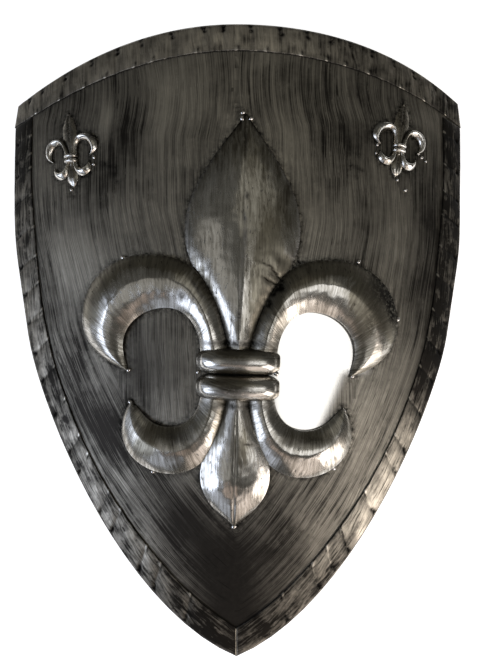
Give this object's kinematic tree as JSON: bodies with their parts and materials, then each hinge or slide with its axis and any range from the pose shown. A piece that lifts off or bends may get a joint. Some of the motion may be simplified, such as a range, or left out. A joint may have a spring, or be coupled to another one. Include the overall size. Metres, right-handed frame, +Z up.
{
  "type": "heater shield",
  "caption": "Curved steel heater shield with folded rim strips, a large stamped fleur-de-lis in the middle and a small one in each upper corner.",
  "frame": {"origin": "centre of the bounding box at floor level, with the shield lying face up on its side rims", "axes": "+Y from the tip towards the top edge, +Z up out of the face, +X to the right as the face is seen upright"},
  "size_m": [0.5592, 0.7082, 0.089],
  "materials": {
    "face_steel": "blackened and wire-brushed, grain upright above and converging on the tip below",
    "rim_steel": "blackened, brushed along the strip, hammered",
    "stamped_steel": "blackened in the hollows, rubbed bright on the crests",
    "polished_steel": "rubbed bright, dark in the hollows"
  },
  "bodies": {
    "root": {"face_plate": "face_steel", "rim_top": "rim_steel", "rim_left": "rim_steel", "rim_right": "rim_steel", "fleur_large": "stamped_steel", "fleur_small_left": "polished_steel", "fleur_small_right": "polished_steel"}
  },
  "joints": []
}
